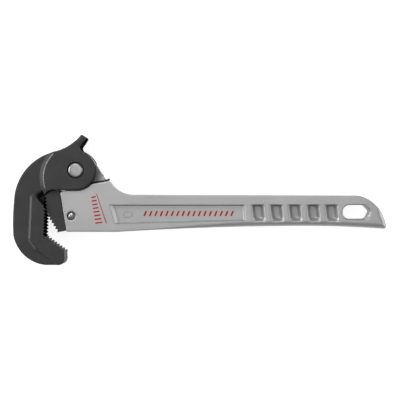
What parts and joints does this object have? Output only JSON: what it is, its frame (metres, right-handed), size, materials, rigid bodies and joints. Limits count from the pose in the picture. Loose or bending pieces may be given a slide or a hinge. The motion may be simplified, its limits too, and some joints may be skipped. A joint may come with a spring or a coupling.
{
  "type": "pipe wrench",
  "caption": "Self-adjusting pipe wrench: cast handle with a fixed toothed heel jaw and a pivoted, spring-closed hook jaw with a thumb tab.",
  "frame": {"origin": "centre of the bounding box in X and Y, on the plane that the back of the hook's cheek rests on", "axes": "+X along the handle towards the hang slot, +Y from the heel side towards the thumb tab, +Z through the thickness, towards the headed end of the pivot pin"},
  "size_m": [0.3748, 0.1305, 0.0312],
  "materials": {
    "cast_aluminium": "satin, blasted casting",
    "black_steel": "matt black oxide on forged steel",
    "bright_steel": "ground",
    "spring_steel": "dark oiled",
    "bushing_bronze": "machined"
  },
  "bodies": {
    "handle": {"handle": "cast_aluminium", "heel_jaw": "black_steel", "heel_jaw_pin": "bright_steel", "pivot_bushing": "bushing_bronze", "torsion_spring": "spring_steel"},
    "hook": {"hook_jaw": "black_steel", "pivot_pin": "bright_steel", "retaining_ring": "spring_steel"}
  },
  "joints": [
    {"name": "hook_pivot", "type": "hinge", "parent": "handle", "child": "hook", "pos_m": [-0.1241, 0.0297, 0.0155], "axis": [0, 0, -1], "range_deg": [0, 34], "stiffness_Nm_per_rad": 0.35, "springref_deg": -28.65, "deforming": ["torsion_spring"]}
  ]
}
